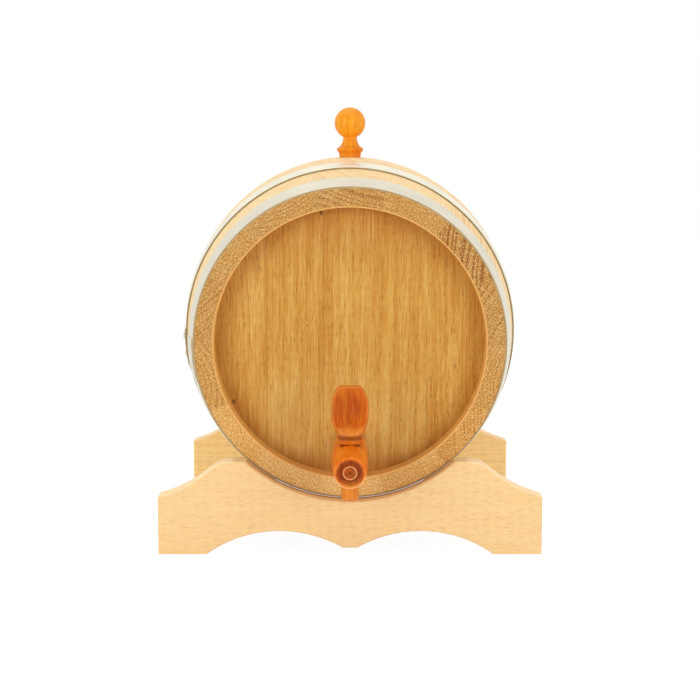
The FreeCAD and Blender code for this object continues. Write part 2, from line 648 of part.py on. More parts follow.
def stand_board(front_y, seat_y):
    """A board with its front face and its seat, the one edge that carries the cask."""
    right = board_outline_half()
    left = [edge.mirror(Vector(), Vector(1, 0, 0)) for edge in right]
    outline = Part.Wire(Part.__sortEdges__(right + left))
    board = Part.Face(outline).extrude(AXIS * BOARD_THICKNESS)
    board.translate(AXIS * front_y)
    board = board.cut(cradle_cutter())
    board = board.makeFillet(BOARD_EASE, eased_edges(board, front_y, seat_y))
    return board.cut(Part.makeCompound(stand_dowels(GLUE_GAP)))


def stand_rail(side):
    rail = Part.makeBox(RAIL_WIDTH, REAR_SEAT - FRONT_SEAT, RAIL_HEIGHT,
                        Vector(side * RAIL_SPREAD / 2 - RAIL_WIDTH / 2, FRONT_SEAT, RAIL_BASE))
    long_ones = [edge for edge in rail.Edges if edge.BoundBox.YLength > RAIL_WIDTH]
    return rail.makeFillet(RAIL_EASE, long_ones).cut(Part.makeCompound(stand_dowels(GLUE_GAP)))


def stand_dowels(grow=0.0):
    """Two dowels at each end of each rail, part in the board and part in the rail."""
    rail_part = STAND_DOWEL_LENGTH - STAND_DOWEL_DEPTH
    starts = (FRONT_SEAT - STAND_DOWEL_DEPTH - grow, REAR_SEAT - rail_part - grow)
    middle = RAIL_BASE + RAIL_HEIGHT / 2
    return [Part.makeCylinder(STAND_DOWEL_RADIUS + grow, STAND_DOWEL_LENGTH + 2 * grow,
                              Vector(side * RAIL_SPREAD / 2 + offset, y, middle), AXIS)
            for side in (-1, 1)
            for offset in (-STAND_DOWEL_SPREAD / 2, STAND_DOWEL_SPREAD / 2)
            for y in starts]


def stand():
    return {
        "stand_front_board": stand_board(-BOARD_LEAD, FRONT_SEAT),
        "stand_rear_board": stand_board(REAR_SEAT, REAR_SEAT),
        "stand_left_rail": stand_rail(-1),
        "stand_right_rail": stand_rail(1),
        "stand_dowels": Part.makeCompound(stand_dowels()),
    }


# ---------------------------------------------------------------- assembly
def laid_down(shape):
    """Lays a piece of the cask in the cradles: leaning to the tap, at its height."""
    copy = shape.copy()
    copy.rotate(Vector(), Vector(1, 0, 0), math.degrees(LEAN))
    copy.translate(UP * AXIS_HEIGHT)
    return copy


def cask():
    nodes = staves()
    nodes.update(heads())
    nodes.update(hoops())
    nodes["bung"] = bung()
    nodes["tap_body"] = tap_body()
    nodes["tap_key"] = tap_key()
    return {name: laid_down(shape) for name, shape in nodes.items()}


def main():
    nodes = cask()
    nodes.update(stand())
    box = Part.makeCompound(list(nodes.values())).optimalBoundingBox(False, False)
    shift = Vector(0, -(box.YMin + box.YMax) / 2, 0)
    os.makedirs("parts", exist_ok=True)
    for name, shape in nodes.items():
        shape.translate(shift)
        shape.exportStep(f"parts/{name}.step")
    print("nodes", len(nodes), "lean", round(math.degrees(LEAN), 3), "axis height", round(AXIS_HEIGHT, 3),
          "shift", round(shift.y, 3))
    for name, shape in nodes.items():
        print(name, len(shape.Solids), "solid(s), valid", shape.isValid(), "volume", round(shape.Volume))


main()
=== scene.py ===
"""Dresses the oak cask dispenser: coopered oak, steel hoops, turned fruitwood and a beech stand.

Run as a script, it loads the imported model, gives every piece its timber or metal,
and sets the floor, the lamps and the camera.
"""
import json
import math
from typing import NamedTuple

import bpy
from bpy.props import FloatProperty, FloatVectorProperty, PointerProperty
from mathutils import Matrix, Vector

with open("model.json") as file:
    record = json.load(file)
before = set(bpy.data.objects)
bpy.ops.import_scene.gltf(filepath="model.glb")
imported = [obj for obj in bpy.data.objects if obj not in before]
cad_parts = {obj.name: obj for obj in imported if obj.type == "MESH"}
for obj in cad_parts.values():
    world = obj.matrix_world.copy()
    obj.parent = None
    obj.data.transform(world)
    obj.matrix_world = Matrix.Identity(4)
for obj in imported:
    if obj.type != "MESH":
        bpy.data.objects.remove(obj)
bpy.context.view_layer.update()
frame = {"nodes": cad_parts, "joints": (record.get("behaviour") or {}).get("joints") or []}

bl_info = {
    "name": "Oak Cask Dispenser",
    "version": (1, 0, 0),
    "blender": (4, 5, 0),
    "location": "View3D > Sidebar > Cask",
    "description": "Timber, steel and stage for a small oak cask on a beech stand",
    "category": "Material",
}

# -------- where the cask lies
# Lengths are in mm in the cask's own frame: X to the right as seen from the front, Y back
# from the front stave ends, Z up from the cask's axis.
MM = 0.001                  # in metres
STAVE_COUNT = 14
STAVE_ANGLE = math.tau / STAVE_COUNT
CASK_LENGTH = 242.0         # stave end to stave end
STAVE_MIDDLE_RADIUS = 88.0  # middle of a stave's end, where its pith is measured from
HEAD_RADIUS = 78.6          # the head that shows inside the chime
HEAD_JOINTS = (-48.7, -15.7, 44.8)      # X of the joints between the head boards
HOOP_RADIUS = 95.0          # about the hoops' own radius
SEAT_RADIUS = 95.0          # the stand's cradles
TAP_DROP = 60.5             # tap axis below the cask's axis
TAP_END_RADIUS = 8.0        # turned front end of the tap
BUTTON_RADIUS = 3.8         # raised middle of that end
KEY_LEAD = 31.0             # key axis ahead of the stave ends
HANDLE_MIDDLE = -31.5       # Z of the middle of the key's handle
HANDLE_HALF = 13.0          # half the handle's height
HANDLE_SIDE = 12.0          # reach of the worn place to each side
BUNG_WAIST = 111.5          # Z of the bung's waist

KEY = next(joint for joint in frame["joints"] if joint["name"] == "key_turn")
LEAN = math.atan2(-KEY["axis"][1], KEY["axis"][2])
CASK_FRONT = (Vector(KEY["pos_m"])
              - Matrix.Rotation(LEAN, 3, "X") @ Vector((0, -KEY_LEAD, -TAP_DROP)) * MM)
CASK_AXIS = (0, math.cos(LEAN), math.sin(LEAN))


def hex_to_linear(code):
    """Linear RGBA from an sRGB hex colour."""
    channels = [int(code[i:i + 2], 16) / 255 for i in (0, 2, 4)]
    return [c / 12.92 if c <= 0.04045 else ((c + 0.055) / 1.055) ** 2.4 for c in channels] + [1.0]


def colour(name, description, code):
    return FloatVectorProperty(name=name, description=description, subtype="COLOR", size=4,
                               min=0.0, max=1.0, default=hex_to_linear(code))


# -------- settings
class CaskOakSettings(bpy.types.PropertyGroup):
    head: colour("Head", "Oiled oak of the heads", "CA963F")
    head_dark: colour("Head earlywood", "Open-pored part of the rings in the heads", "BD7F30")
    # The oiled-edge colour paints shade in the corner of the chime round each head.
    oil: colour("Oiled edge", "Where the oil gathers in the corner of the head", "A05A12")
    oiled_pore: colour("Oiled pores", "Short pores, filled with oil", "84440E")
    stave: colour("Staves", "Sanded outside of the staves", "F2CC88")
    stave_dark: colour("Stave earlywood", "Open-pored part of the rings in the staves", "E2B877")
    end_grain: colour("End grain", "Sawn stave ends", "D8A352")
    bevel: colour("Bevel", "Clean cut edge inside the stave ends", "E8B468")
    chime: colour("Inside of the chime", "Oiled inside of the stave ends", "E4AC58")
    pore: colour("Pores", "Dark pores that run along the grain", "6E3A10")
    ray: colour("Rays", "Pale medullary rays", "F0CE92")
    knot: colour("Knots", "Small dark knots in the front head", "6B3F1C")


class CaskHoopSettings(bpy.types.PropertyGroup):
    # the chime hoops are a darker copy of the quarter hoops' steel
    chime_steel: colour("Chime hoops", "Bright zinc-plated steel strip, rubbed by the cradle",
                        "E4DDC8")
    chime_edge: colour("Edges of the chime hoops", "Sheared edges, tarnished", "AE9A78")
    quarter_steel: colour("Quarter hoops", "Bright zinc-plated steel strip", "F1EBD6")
    quarter_edge: colour("Edges of the quarter hoops", "Sheared edges, dark with scale", "9C8C66")
    roughness: FloatProperty(name="Roughness", description="Roughness of the rolled strip",
                             default=0.42, min=0.05, max=1.0, subtype="FACTOR")


class CaskFruitwoodSettings(bpy.types.PropertyGroup):
    tap: colour("Tap", "Turned pear wood of the tap", "E67812")
    key: colour("Key", "Turned pear wood of the key", "CC6406")
    worn: colour("Worn middle", "Where fingers and oil darken the key's handle", "B04C06")
    bung: colour("Bung", "Turned pear wood of the bung, cut lighter", "F49E20")
    streak: colour("Streaks", "Darker streaks along the grain", "A84A08")
    end_grain: colour("End grain", "Turned end faces, which soak up the oil", "A84C10")
    # painted light: the paler colour of the key's sides, the swept foot of its cheeks, the tip of
    # its spout and the lower part of the tap's end
    painted_pale_light: colour("Rubbed", "Where handling has worn the oil off", "F2A648")
    # painted highlight: the colour of the key's edges, the button's edge and the lower half of the
    # tap's end rim
    painted_edge_highlight: colour("Burnished edges", "Edges rubbed pale", "FFCE8C")
    # painted shade: the colour of the key's groove, under its collar and the hollow round the
    # tap's button; the lathe's centre mark uses it too
    seam: colour("Seams", "Oil and dust under the collar and in the groove", "6A2A06")


class CaskBeechSettings(bpy.types.PropertyGroup):
    front: colour("Front board", "Steamed beech", "EEC98E")
    # painted light: the rear board is a lighter copy of the same steamed beech, against the shade
    # the cask casts on it
    rear: colour("Rear board", "Steamed beech of a warmer tone", "FFDC94")
    rings: colour("Rings", "Darker growth rings of the beech", "F0C285")
    fleck: colour("Flecks", "Short brown ray flecks", "C58A50")
    end_grain: colour("End grain", "Sawn board ends", "E3B87C")
    # painted shade: the colour of the cradle under the cask
    cradle: colour("Cradle", "Sawn hollow that the cask has rubbed", "B87C34")
    # painted highlight on the rounded edges that face up
    painted_top_highlight: colour("Eased edges", "Rounded edges, sanded paler", "FFDDA8")


class CaskStageSettings(bpy.types.PropertyGroup):
    floor: colour("Floor", "Plain pale floor", "F7F7F7")
    key_power: FloatProperty(name="Overhead softbox", description="Power of the large lamp above",
                             default=5.0, min=0.0, unit="POWER")
    fill_power: FloatProperty(name="Side softboxes",
                              description="Power of the lamps beside the camera",
                              default=8.6, min=0.0, unit="POWER")
    surround: FloatProperty(name="Surround", description="Brightness of the white walls behind",
                            default=1.0, min=0.0, max=2.0, subtype="FACTOR")
    camera_side: FloatProperty(name="Camera side",
                               description="Brightness of the dim side of the studio",
                               default=0.2, min=0.0, max=2.0, subtype="FACTOR")
    camera_distance: FloatProperty(name="Camera distance", description="From the cask's front",
                                   default=0.815, min=0.2, max=5.0, unit="LENGTH")
    camera_height: FloatProperty(name="Camera height", description="Above the floor",
                                 default=0.206, min=0.0, max=3.0, unit="LENGTH")
    camera_pitch: FloatProperty(name="Camera pitch", description="Downward tilt of the camera",
                                default=math.radians(6.1), subtype="ANGLE")
    focal_length: FloatProperty(name="Focal length", description="For a 36 mm wide sensor, in mm",
                                default=73.3, min=10.0, max=300.0, unit="CAMERA")


# -------- node helper
# Kinds of node that are used all over, each with its mode.
STEP = "MapRange SMOOTHSTEP"        # value, low, high, and what it gives at low and at high
BLEND = "Mix RGBA"                  # share of the second colour, first colour, second colour
SCALED = "VectorMath SCALE"         # colour or vector, and its factor
TIMES_PLUS = "Math MULTIPLY_ADD"    # value, its factor, and what is added
TIMES = "Math MULTIPLY"
PLUS = "Math ADD"
LARGER = "Math MAXIMUM"
LENGTH = "VectorMath LENGTH"
DOT = "VectorMath DOT_PRODUCT"

MODES = {"Math": "operation", "VectorMath": "operation", "Mix": "data_type",
         "MapRange": "interpolation_type", "Mapping": "vector_type"}


def add(tree, kind, *inputs, **settings):
    """Adds a shader node, sets it up and feeds its inputs.

    The kind may end in the node's mode, as in "Math ADD". The inputs are values, sockets or
    other nodes, in the order of the node's sockets or as one dict by the sockets' names.
    """
    kind, _, mode = kind.partition(" ")
    if mode:
        settings[MODES[kind]] = mode
    node = tree.nodes.new("ShaderNode" + kind)
    for name, value in settings.items():
        setattr(node, name, value)
    if inputs and isinstance(inputs[0], dict):
        fed = [(node.inputs[name], value) for name, value in inputs[0].items()]
    else:
        fed = zip([socket for socket in node.inputs if socket.enabled], inputs)
    for socket, value in fed:
        if isinstance(value, bpy.types.Node):
            value = next(output for output in value.outputs if output.enabled)
        if isinstance(value, bpy.types.NodeSocket):
            tree.links.new(value, socket)
        else:
            socket.default_value = value
    return node


def new_material(name):
    material = bpy.data.materials.new(name)
    material.use_nodes = True
    material.node_tree.nodes.clear()
    return material


def finish_surface(tree, **inputs):
    """The surface shader, with its inputs by name, and the material's output."""
    shader = add(tree, "BsdfPrincipled",
                 {name.replace("_", " "): value for name, value in inputs.items()})
    add(tree, "OutputMaterial", {"Surface": shader})


# -------- places and patterns
NOISE_SPAN = (0.3, 0.7)         # most of a noise lies between these
WIDE_NOISE_SPAN = (0.25, 0.75)  # and nearly all between these
STEEPNESS = 1.3                 # how strongly a lower tone deepens the colour of oiled wood


def place_in_mm(tree, turn=0.0, back_to_front=False):
    """The surface point in mm in the cask's own frame, turned so that one stave is on top."""
    point = add(tree, "TexCoord").outputs["Object"]
    place = add(tree, "Mapping TEXTURE", point, CASK_FRONT, (LEAN, 0, 0), (MM, MM, MM))
    if back_to_front:
        place = add(tree, "Mapping TEXTURE", place, (0, CASK_LENGTH, 0), (0, 0, math.pi))
    if turn:
        place = add(tree, "Mapping TEXTURE", place, (0, 0, 0), (0, turn, 0))
    return place


def floor_place_in_mm(tree):
    """The surface point in mm in the stand's frame."""
    return add(tree, SCALED, add(tree, "TexCoord").outputs["Object"], 1 / MM)


def mottled(tree, vector, sizes, detail=1.0, roughness=0.5):
    """Soft uneven patches of the given sizes in mm along the three axes."""
    cells = add(tree, "Mapping", {"Vector": vector, "Scale": [1 / size for size in sizes]})
    return add(tree, "TexNoise",
               {"Vector": cells, "Scale": 1.0, "Detail": detail, "Roughness": roughness})


def band(tree, value, rise, fall, share):
    """The share where the value is between rise and fall, each a range to fade over."""
    return add(tree, TIMES, add(tree, STEP, value, *rise),
               add(tree, STEP, value, *fall, share, 0.0))


def facing(tree, axis):
    """How squarely the surface faces along an axis, either way: 1 across it, 0 along it."""
    normal = add(tree, "TexCoord").outputs["Normal"]
    return add(tree, "Math ABSOLUTE", add(tree, DOT, normal, axis))


def sharp_edges(tree, reach):
    """Where an edge is within reach, in mm: 1 at the edge, 0 away from it."""
    rounded = add(tree, "Bevel", reach * MM, samples=6)
    true = add(tree, "NewGeometry").outputs["Normal"]
    return add(tree, STEP, add(tree, DOT, rounded, true), 0.8, 0.99, 1.0, 0.0)


def steeped(tree, shade, tone):
    """Lighter or darker as oiled wood is: the darker, the deeper its colour."""
    depth = add(tree, TIMES_PLUS, tone, -STEEPNESS, 1 + STEEPNESS)
    return add(tree, "Gamma", shade, depth)


def recoloured(tree, shade, old, new):
    """The same pattern in another colour."""
    ratio = [after / before for after, before in zip(new, old)]
    return add(tree, "VectorMath MULTIPLY", shade, ratio[:3])


# -------- timber
PLANK_STRIDE = 531.0            # mm of log from one plank's start to the next one's
RING_SHIFT = 0.37               # share of a ring from one plank to the next
DRIFT_SIZE = (150, 38, 38)      # mm, how slowly the rings wander, along and across the grain
UNEVEN_RINGS = 3.5              # rings over which wide and narrow ones take turns
RING_UNEVENNESS = 2.4           # and by how many rings they stray
NEXT_RING = 0.86                # part of a ring after which the next one's earlywood fades in
PORE_UNEVENNESS = 0.9           # how unevenly the pores are strewn, from 0 to 1
PORE_RIM = (0.12, 0.45)         # a pore's dark middle and its faint rim, as parts of its cell
PORE_CHANCE_SPAN = 0.3          # how far below the share a cell's pore is at full strength
RAY_FADE = 0.1                  # noise level over which a ray fades in
KNOT_STRETCH = 1.3              # length of a knot along the grain, times its width
KNOT_RIM = (0.5, 1.2)           # its dark middle and its faint rim, times its size
SWELLING_STRETCH = 2.2          # length of the swelling of the rings round it, times its width
SWELLING = (5.0, 1.6)           # reach and height of that swelling, times the knot's size


class Timber(NamedTuple):
    """What one kind of wood looks like: sizes in mm, colours as linear RGBA."""
    latewood: list
    earlywood: list
    pore: list
    ray: list
    contrast: float             # how far a ring goes from latewood to earlywood
    early_share: float          # part of a ring that is earlywood
    wander: float               # how far the rings wander along the grain
    pore_size: tuple            # length and width of the cell that a pore may fill
    pore_share: tuple           # share of the cells with a pore, in latewood and in earlywood
    pore_strength: float
    fibre: tuple                # length, width and tone change of the fine fibres
    streak: tuple               # the same for the broader streaks
    patch: tuple                # and for the soft patches
    ray_size: tuple             # along the grain, round the rings and along the ray
    ray_level: float            # the higher, the fewer rays
    ray_strength: float
    knot: list = None           # colour of the knots, if it has any


class Plank(NamedTuple):
    """How one piece is sawn from its log."""
    seed: int
    pith: tuple                 # where the pith runs, along the second and third axes
    spacing: float              # of the rings
    tone: float = 1.0
    tilt: float = 0.0           # lean of the pith towards the third axis, along the grain
    contrast: float = 1.0       # of the rings, times the timber's
    knots: tuple = ()           # place along and across the grain, and size, of each

    @property
    def start(self):
        """Where the plank begins along the grain, so that no two have the same pattern."""
        return self.seed * PLANK_STRIDE


class Look(NamedTuple):
    """What timber gives a material to work with."""
    shade: bpy.types.Node       # the colour
    early: bpy.types.Node       # the share of earlywood
    ray: bpy.types.Node         # where the rays are
    height: bpy.types.Node      # the relief


def knot_distance(tree, grain, along, across, stretch):
    """Distance in mm from a knot, drawn out along the grain."""
    here = add(tree, "Mapping", {"Vector": grain, "Location": (-along / stretch, -across, 0),
                                 "Scale": (1 / stretch, 1, 0)})
    return add(tree, LENGTH, here)


def pith_offsets(tree, along, across, deep, plank):
    """How far the point is off the pith, which leans along the plank, on two axes."""
    leaning = add(tree, TIMES_PLUS, along, -plank.tilt, plank.start * plank.tilt - plank.pith[1])
    off_across = add(tree, "Math SUBTRACT", across, plank.pith[0])
    return off_across, add(tree, PLUS, deep, leaning)


def ring_radius(tree, grain, off_across, off_deep, wood, plank):
    """Distance from the pith as the rings see it: they wander, and swell round a knot."""
    radius = add(tree, LENGTH, add(tree, "CombineXYZ", {"Y": off_across, "Z": off_deep}))
    drift = mottled(tree, grain, DRIFT_SIZE, detail=2.0, roughness=0.45)
    radius = add(tree, TIMES_PLUS, drift, 2 * wood.wander, radius)
    reach, height = SWELLING
    for along, across, size in plank.knots:
        away = knot_distance(tree, grain, along + plank.start, across, SWELLING_STRETCH)
        swelling = add(tree, STEP, away, 0.0, size * reach, size * height, 0.0)
        radius = add(tree, PLUS, radius, swelling)
    return radius


def earlywood_share(tree, radius, wood, plank):
    """How much of the wood is earlywood: all where a ring begins, and none where it ends."""
    place = add(tree, TIMES, radius, 1 / (UNEVEN_RINGS * plank.spacing))
    uneven = add(tree, "TexNoise", {"W": place, "Scale": 1.0, "Detail": 1.0},
                 noise_dimensions="1D")
    rings = add(tree, TIMES_PLUS, radius, 1 / plank.spacing, plank.seed * RING_SHIFT)
    rings = add(tree, TIMES_PLUS, uneven, RING_UNEVENNESS, rings)
    ring = add(tree, "Math FRACT", rings)
    return add(tree, LARGER, add(tree, STEP, ring, 0.0, wood.early_share, 1.0, 0.0),
               add(tree, STEP, ring, NEXT_RING, 1.0))


def open_pores(tree, grain, early, wood):
    """Short pores along the grain, more of them in the earlywood.

    Real ones are 0.3 mm wide in oak and finer in the other woods, so they are drawn wider.
    """
    length, width = wood.pore_size
    cells = add(tree, "Mapping", {"Vector": grain, "Scale": (1 / length, 1 / width, 1 / width)})
    cells = add(tree, "TexVoronoi", {"Vector": cells, "Scale": 1.0, "Randomness": PORE_UNEVENNESS},
                feature="F1")
    chance = add(tree, "SeparateXYZ", cells.outputs["Color"]).outputs["X"]
    share = add(tree, "MapRange", early, 0.0, 1.0, *wood.pore_share)
    above_share = add(tree, "Math SUBTRACT", chance, share)
    return add(tree, TIMES, add(tree, STEP, above_share, -PORE_CHANCE_SPAN, 0.0, 1.0, 0.0),
               add(tree, STEP, cells.outputs["Distance"], *PORE_RIM, 1.0, 0.0))


def fibre_tones(tree, grain, wood):
    """How the fine fibres, the streaks and the patches change the tone, in that order.

    Single fibres are far too fine to show, so they are drawn as bundles.
    """
    tones = []
    for length, width, change in (wood.fibre, wood.streak, wood.patch):
        layer = mottled(tree, grain, (length, width, width), detail=2.0, roughness=0.6)
        tones.append(add(tree, STEP, layer, *WIDE_NOISE_SPAN, -change, change))
    return tones


def medullary_rays(tree, along, off_across, off_deep, radius, wood, plank):
    """Rays, which stand across the rings."""
    bearing = add(tree, "Math ARCTAN2", off_deep, off_across)
    round_pith = add(tree, TIMES, bearing, math.hypot(*plank.pith))
    place = add(tree, "CombineXYZ", along, round_pith, radius)
    pattern = mottled(tree, place, wood.ray_size, detail=0.0)
    return add(tree, "MapRange", pattern, wood.ray_level, wood.ray_level + RAY_FADE)


def timber(tree, place, order, wood, plank):
    """Solid timber with the grain along the first axis of order."""
    parts = add(tree, "SeparateXYZ", place)
    along, across, deep = (parts.outputs[axis] for axis in order)
    along = add(tree, PLUS, along, plank.start)
    grain = add(tree, "CombineXYZ", along, across, deep)
    off_across, off_deep = pith_offsets(tree, along, across, deep, plank)
    radius = ring_radius(tree, grain, off_across, off_deep, wood, plank)
    early = earlywood_share(tree, radius, wood, plank)
    pore = open_pores(tree, grain, early, wood)
    ray = medullary_rays(tree, along, off_across, off_deep, radius, wood, plank)
    tones = fibre_tones(tree, grain, wood)

    contrast = add(tree, TIMES, early, wood.contrast * plank.contrast)
    shade = add(tree, BLEND, contrast, wood.latewood, wood.earlywood)
    shade = add(tree, BLEND, add(tree, TIMES, ray, wood.ray_strength), shade, wood.ray)
    tone = plank.tone
    for change in tones:
        tone = add(tree, PLUS, change, tone)
    shade = steeped(tree, shade, tone)
    shade = add(tree, BLEND, add(tree, TIMES, pore, wood.pore_strength), shade, wood.pore)
    middle, rim = KNOT_RIM
    for knot_along, knot_across, size in plank.knots:
        away = knot_distance(tree, grain, knot_along + plank.start, knot_across, KNOT_STRETCH)
        dark = add(tree, STEP, away, size * middle, size * rim, 0.85, 0.0)
        shade = add(tree, BLEND, dark, shade, wood.knot)
    height = add(tree, TIMES_PLUS, tones[0], 2.0, add(tree, TIMES, pore, -1.0))
    return Look(shade, early, ray, height)


# -------- oak
class StaveCut(NamedTuple):
    """How a stave is sawn from its own board."""
    bearing: float              # of the pith from the stave's middle: 0 to its right, 90 outward
    distance: float             # of the pith from there, in mm
    spacing: float              # of the rings, in mm
    tone: float                 # 1 is the timber's own colour
    contrast: float             # of the rings
    painted_end_light: float             # of the sawn end: painted shade on the upper staves, painted light on the lower ones


STAVE_CUTS = tuple(StaveCut(*row) for row in (
    (72, 120, 3.2, 0.99, 1.1, 0.78),
    (8, 150, 1.7, 1.00, 0.5, 0.80),
    (41, 130, 3.2, 0.93, 2.6, 0.75),
    (45, 130, 2.6, 0.98, 1.0, 0.78),
    (90, 42, 2.4, 1.01, 0.7, 0.84),
    (139, 120, 2.6, 0.97, 0.9, 0.96),
    (180, 150, 1.6, 1.02, 0.5, 1.08),
    (92, 60, 2.2, 1.03, 0.5, 1.17),
    (60, 50, 2.1, 1.00, 0.6, 1.17),
    (30, 140, 1.9, 1.00, 0.6, 1.05),
    (95, 36, 2.6, 1.00, 0.8, 0.86),
    (50, 110, 2.7, 0.98, 0.9, 0.80),
    (20, 140, 2.0, 1.02, 0.6, 0.82),
    (88, 45, 2.3, 1.01, 0.8, 0.80),
))

END_PORE_CELL = 1.25            # mm, room for one pore in the end grain
END_PORE_RIM = (0.15, 0.5)      # the pore's dark middle and its faint rim, as parts of it
JOINT_FADE = (0.05, 0.25)       # mm from a stave's joint face over which its dark line fades


def stave_end_grain(tree, place, parts, look, cut, settings):
    """The sawn end: rows of open pores in a pale ground, a little torn by the saw.

    The pores are drawn at over twice their real 0.3 mm, so that they show.
    """
    sawn = recoloured(tree, look.shade, settings.stave, settings.end_grain)
    # painted light and shade on the sawn end: darker on the upper staves, lighter on the lower
    # ones
    if cut.painted_end_light < 1:
        sawn = add(tree, SCALED, sawn, cut.painted_end_light)    # in shade, without a deeper colour
    else:
        sawn = steeped(tree, sawn, cut.painted_end_light)
    soft = add(tree, TIMES, look.early, min(0.45 * cut.contrast, 0.9))
    sawn = add(tree, BLEND, soft, sawn, steeped(tree, sawn, 0.55))
    sawn = add(tree, BLEND, add(tree, TIMES, look.ray, 0.3), sawn, settings.ray)
    grit = mottled(tree, place, (0.8, 0.8, 0.8), roughness=0.7)
    sawn = steeped(tree, sawn, add(tree, STEP, grit, *NOISE_SPAN, 0.65, 1.3))
    flat = add(tree, "CombineXYZ", parts.outputs["X"], parts.outputs["Z"])
    dots = add(tree, "TexVoronoi", {"Vector": flat, "Scale": 1 / END_PORE_CELL, "Randomness": 1.0},
               feature="F1", voronoi_dimensions="2D")
    hole = add(tree, STEP, dots.outputs["Distance"], *END_PORE_RIM, 1.0, 0.0)
    filled = add(tree, "MapRange", look.early, 0.0, 1.0, 0.28, min(0.6 * cut.contrast, 0.95))
    return add(tree, BLEND, add(tree, TIMES, hole, filled), sawn, settings.oiled_pore)


def oak_stave_material(number, settings):
    """European oak, split, bent over fire and sanded: open pores and rings that run
    through each stave from its pale outside to its sawn end, where they show as rows
    of dark dots crossed by pale rays."""
    cut = STAVE_CUTS[number - 1]
    bearing = math.radians(cut.bearing)
    pith = (cut.distance * math.cos(bearing),
            STAVE_MIDDLE_RADIUS + cut.distance * math.sin(bearing))
    material = new_material(f"european_oak_sanded_stave_{number:02d}")
    tree = material.node_tree
    place = place_in_mm(tree, turn=(number - 1) * STAVE_ANGLE)
    wood = Timber(settings.stave, settings.stave_dark, settings.pore, settings.ray, contrast=0.5,
                  early_share=0.5, wander=3.0, pore_size=(7.0, 0.85), pore_share=(0.1, 0.6),
                  pore_strength=0.35, fibre=(18, 0.8, 0.05), streak=(70, 4, 0.03),
                  patch=(90, 20, 0.05), ray_size=(2.6, 0.7, 9.0), ray_level=0.58,
                  ray_strength=0.4)
    plank = Plank(number, pith, cut.spacing, cut.tone, contrast=cut.contrast)
    look = timber(tree, place, "YXZ", wood, plank)
    parts = add(tree, "SeparateXYZ", place)
    end_on = facing(tree, CASK_AXIS)
    sideways = add(tree, "Math ABSOLUTE", parts.outputs["X"])
    flat = add(tree, "CombineXYZ", sideways, parts.outputs["Z"])
    radius = add(tree, LENGTH, flat)

    # the bevel lies between the sawn end and the oiled inside of the chime
    sawn = stave_end_grain(tree, place, parts, look, cut, settings)
    shade = add(tree, BLEND, add(tree, STEP, end_on, 0.5, 0.62), look.shade, settings.bevel)
    shade = add(tree, BLEND, add(tree, STEP, end_on, 0.8, 0.93), shade, sawn)
    inside = add(tree, TIMES,
                 add(tree, STEP, radius, HEAD_RADIUS + 0.4, HEAD_RADIUS + 1.0, 1.0, 0.0),
                 add(tree, STEP, end_on, 0.3, 0.5, 1.0, 0.0))
    shade = add(tree, BLEND, inside, shade,
                recoloured(tree, shade, settings.stave, settings.chime))

    # the fine dark joint between staves
    joint_face = (-math.cos(STAVE_ANGLE / 2), math.sin(STAVE_ANGLE / 2), 0)
    to_joint = add(tree, DOT, flat, joint_face)
    joint = add(tree, STEP, to_joint, *JOINT_FADE, 0.35, 0.0)
    shade = add(tree, BLEND, joint, shade, add(tree, SCALED, shade, 0.35))

    # the sanded outside is glossier than the end and the oiled inside, and a little velvety
    outside = add(tree, TIMES, add(tree, STEP, radius, HEAD_RADIUS + 3.0, HEAD_RADIUS + 6.0),
                  add(tree, STEP, end_on, 0.3, 0.6, 1.0, 0.0))
    bump = add(tree, "Bump", {"Strength": 0.6, "Distance": 0.12 * MM, "Height": look.height})
    finish_surface(tree, Base_Color=shade,
                   Roughness=add(tree, "MapRange", end_on, 0.0, 1.0, 0.5, 0.72), Normal=bump,
                   Specular_IOR_Level=add(tree, TIMES_PLUS, outside, 0.2, 0.3),
                   Sheen_Weight=add(tree, TIMES, outside, 0.12))
    return material


class HeadCut(NamedTuple):
    """How a head board is sawn, off the middle of its log."""
    pith: tuple                 # across and behind the face, in mm
    spacing: float              # of the rings, in mm
    tone: float
    painted_low_light: float             # painted light and shade on the lower half, against the rest
    tilt: float                 # lean of the pith along the board
    knots: tuple                # height, offset to the right and size of each, in mm


HEAD_CUTS = (
    HeadCut((-190, 90), 2.4, 0.965, 1.03, 0.02, ((-35.7, -68.3, 1.2),)),
    HeadCut((-150, 80), 2.2, 0.985, 1.15, -0.02, ((9.3, -25.0, 0.5), (74.8, -16.6, 1.1))),
    HeadCut((120, 95), 2.7, 0.94, 1.10, 0.03, ()),
    HeadCut((170, 80), 2.4, 0.96, 0.96, -0.03, ()),
)

FRONT_HEAD_SEED = 20            # the boards' seeds go up from here
REAR_HEAD_SEED = 40
PAINTED_LOW_LIGHT_SPAN = (-5.0, -40.0)   # Z over which the painted light and shade of the lower half comes in
HEAD_JOINT_REACH = 0.3          # mm to each side of a joint between boards that is darker


def painted_chime_shade(tree, parts, radius):
    """Painted shade in the corner of the chime on a head: round its rim, though less on the right,
    at its top, and most of all at its foot."""
    sideways, level = parts.outputs["X"], parts.outputs["Z"]
    rim = add(tree, TIMES, add(tree, STEP, radius, HEAD_RADIUS * 0.8, HEAD_RADIUS, 0.0, 0.25),
              add(tree, STEP, sideways, HEAD_RADIUS * 0.4, HEAD_RADIUS * 0.9, 1.0, 0.2))
    foot = add(tree, STEP, level, -HEAD_RADIUS * 0.78, -HEAD_RADIUS * 0.97, 0.0, 0.42)
    top = add(tree, STEP, level, HEAD_RADIUS * 0.3, HEAD_RADIUS, 0.0, 0.25)
    return add(tree, PLUS, rim, add(tree, PLUS, foot, top))


